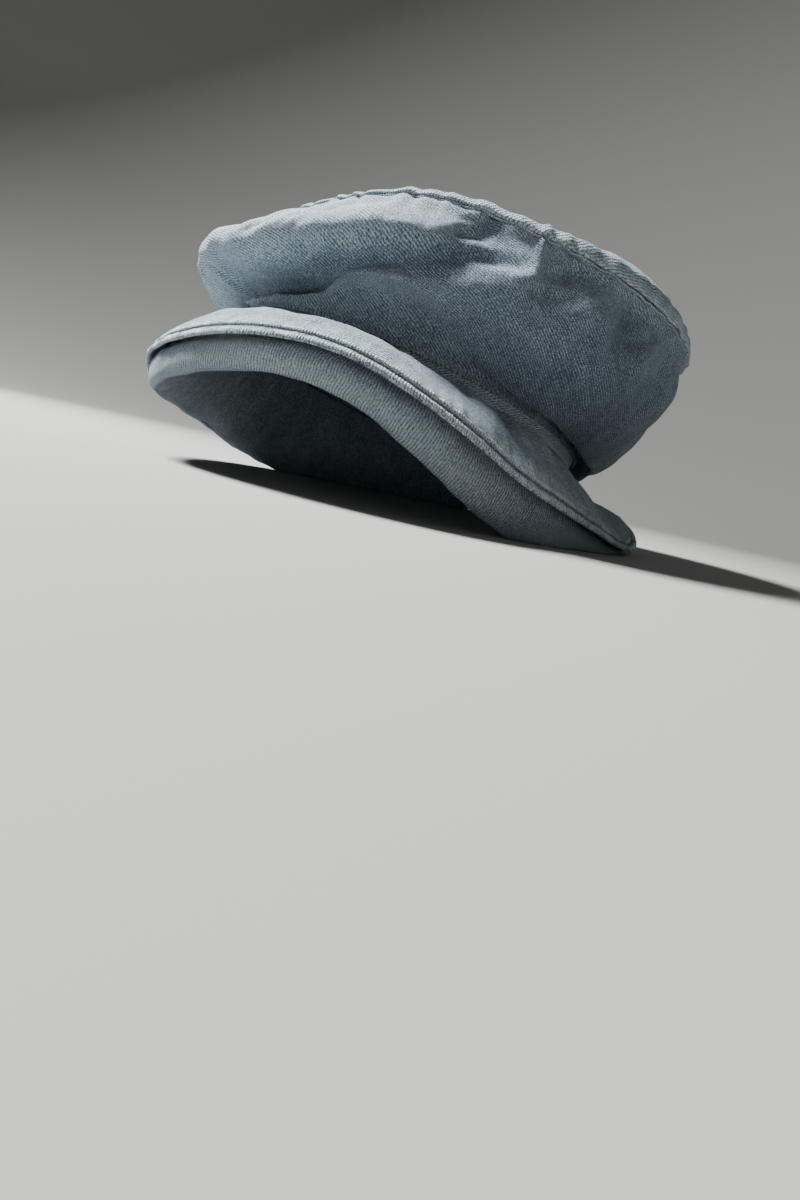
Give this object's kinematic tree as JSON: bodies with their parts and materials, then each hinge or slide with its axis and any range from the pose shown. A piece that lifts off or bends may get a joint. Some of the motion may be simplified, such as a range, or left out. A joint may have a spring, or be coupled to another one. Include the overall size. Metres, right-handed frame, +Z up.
{
  "type": "baker boy cap",
  "caption": "Soft washed denim cap with a full floppy crown, a narrow band and a padded brim all round.",
  "frame": {"origin": "middle of the cap's outline on the floor it rests on", "axes": "+Z up, the front of the cap faces -Y, the wearer's left is +X"},
  "size_m": [0.2742, 0.3248, 0.1571],
  "materials": {
    "denim_crown_top": "washed light blue twill, matte and fuzzy",
    "denim_crown_side": "washed blue twill, matte and fuzzy",
    "denim_band": "washed light blue twill, matte and fuzzy",
    "denim_brim": "washed blue twill, abraded pale along the edge",
    "denim_under_brim": "washed blue twill with strong wales, matte"
  },
  "bodies": {
    "root": {"crown_top": "denim_crown_top", "crown_side": "denim_crown_side", "band": "denim_band", "brim": "denim_brim", "under_brim": "denim_under_brim"}
  },
  "joints": []
}
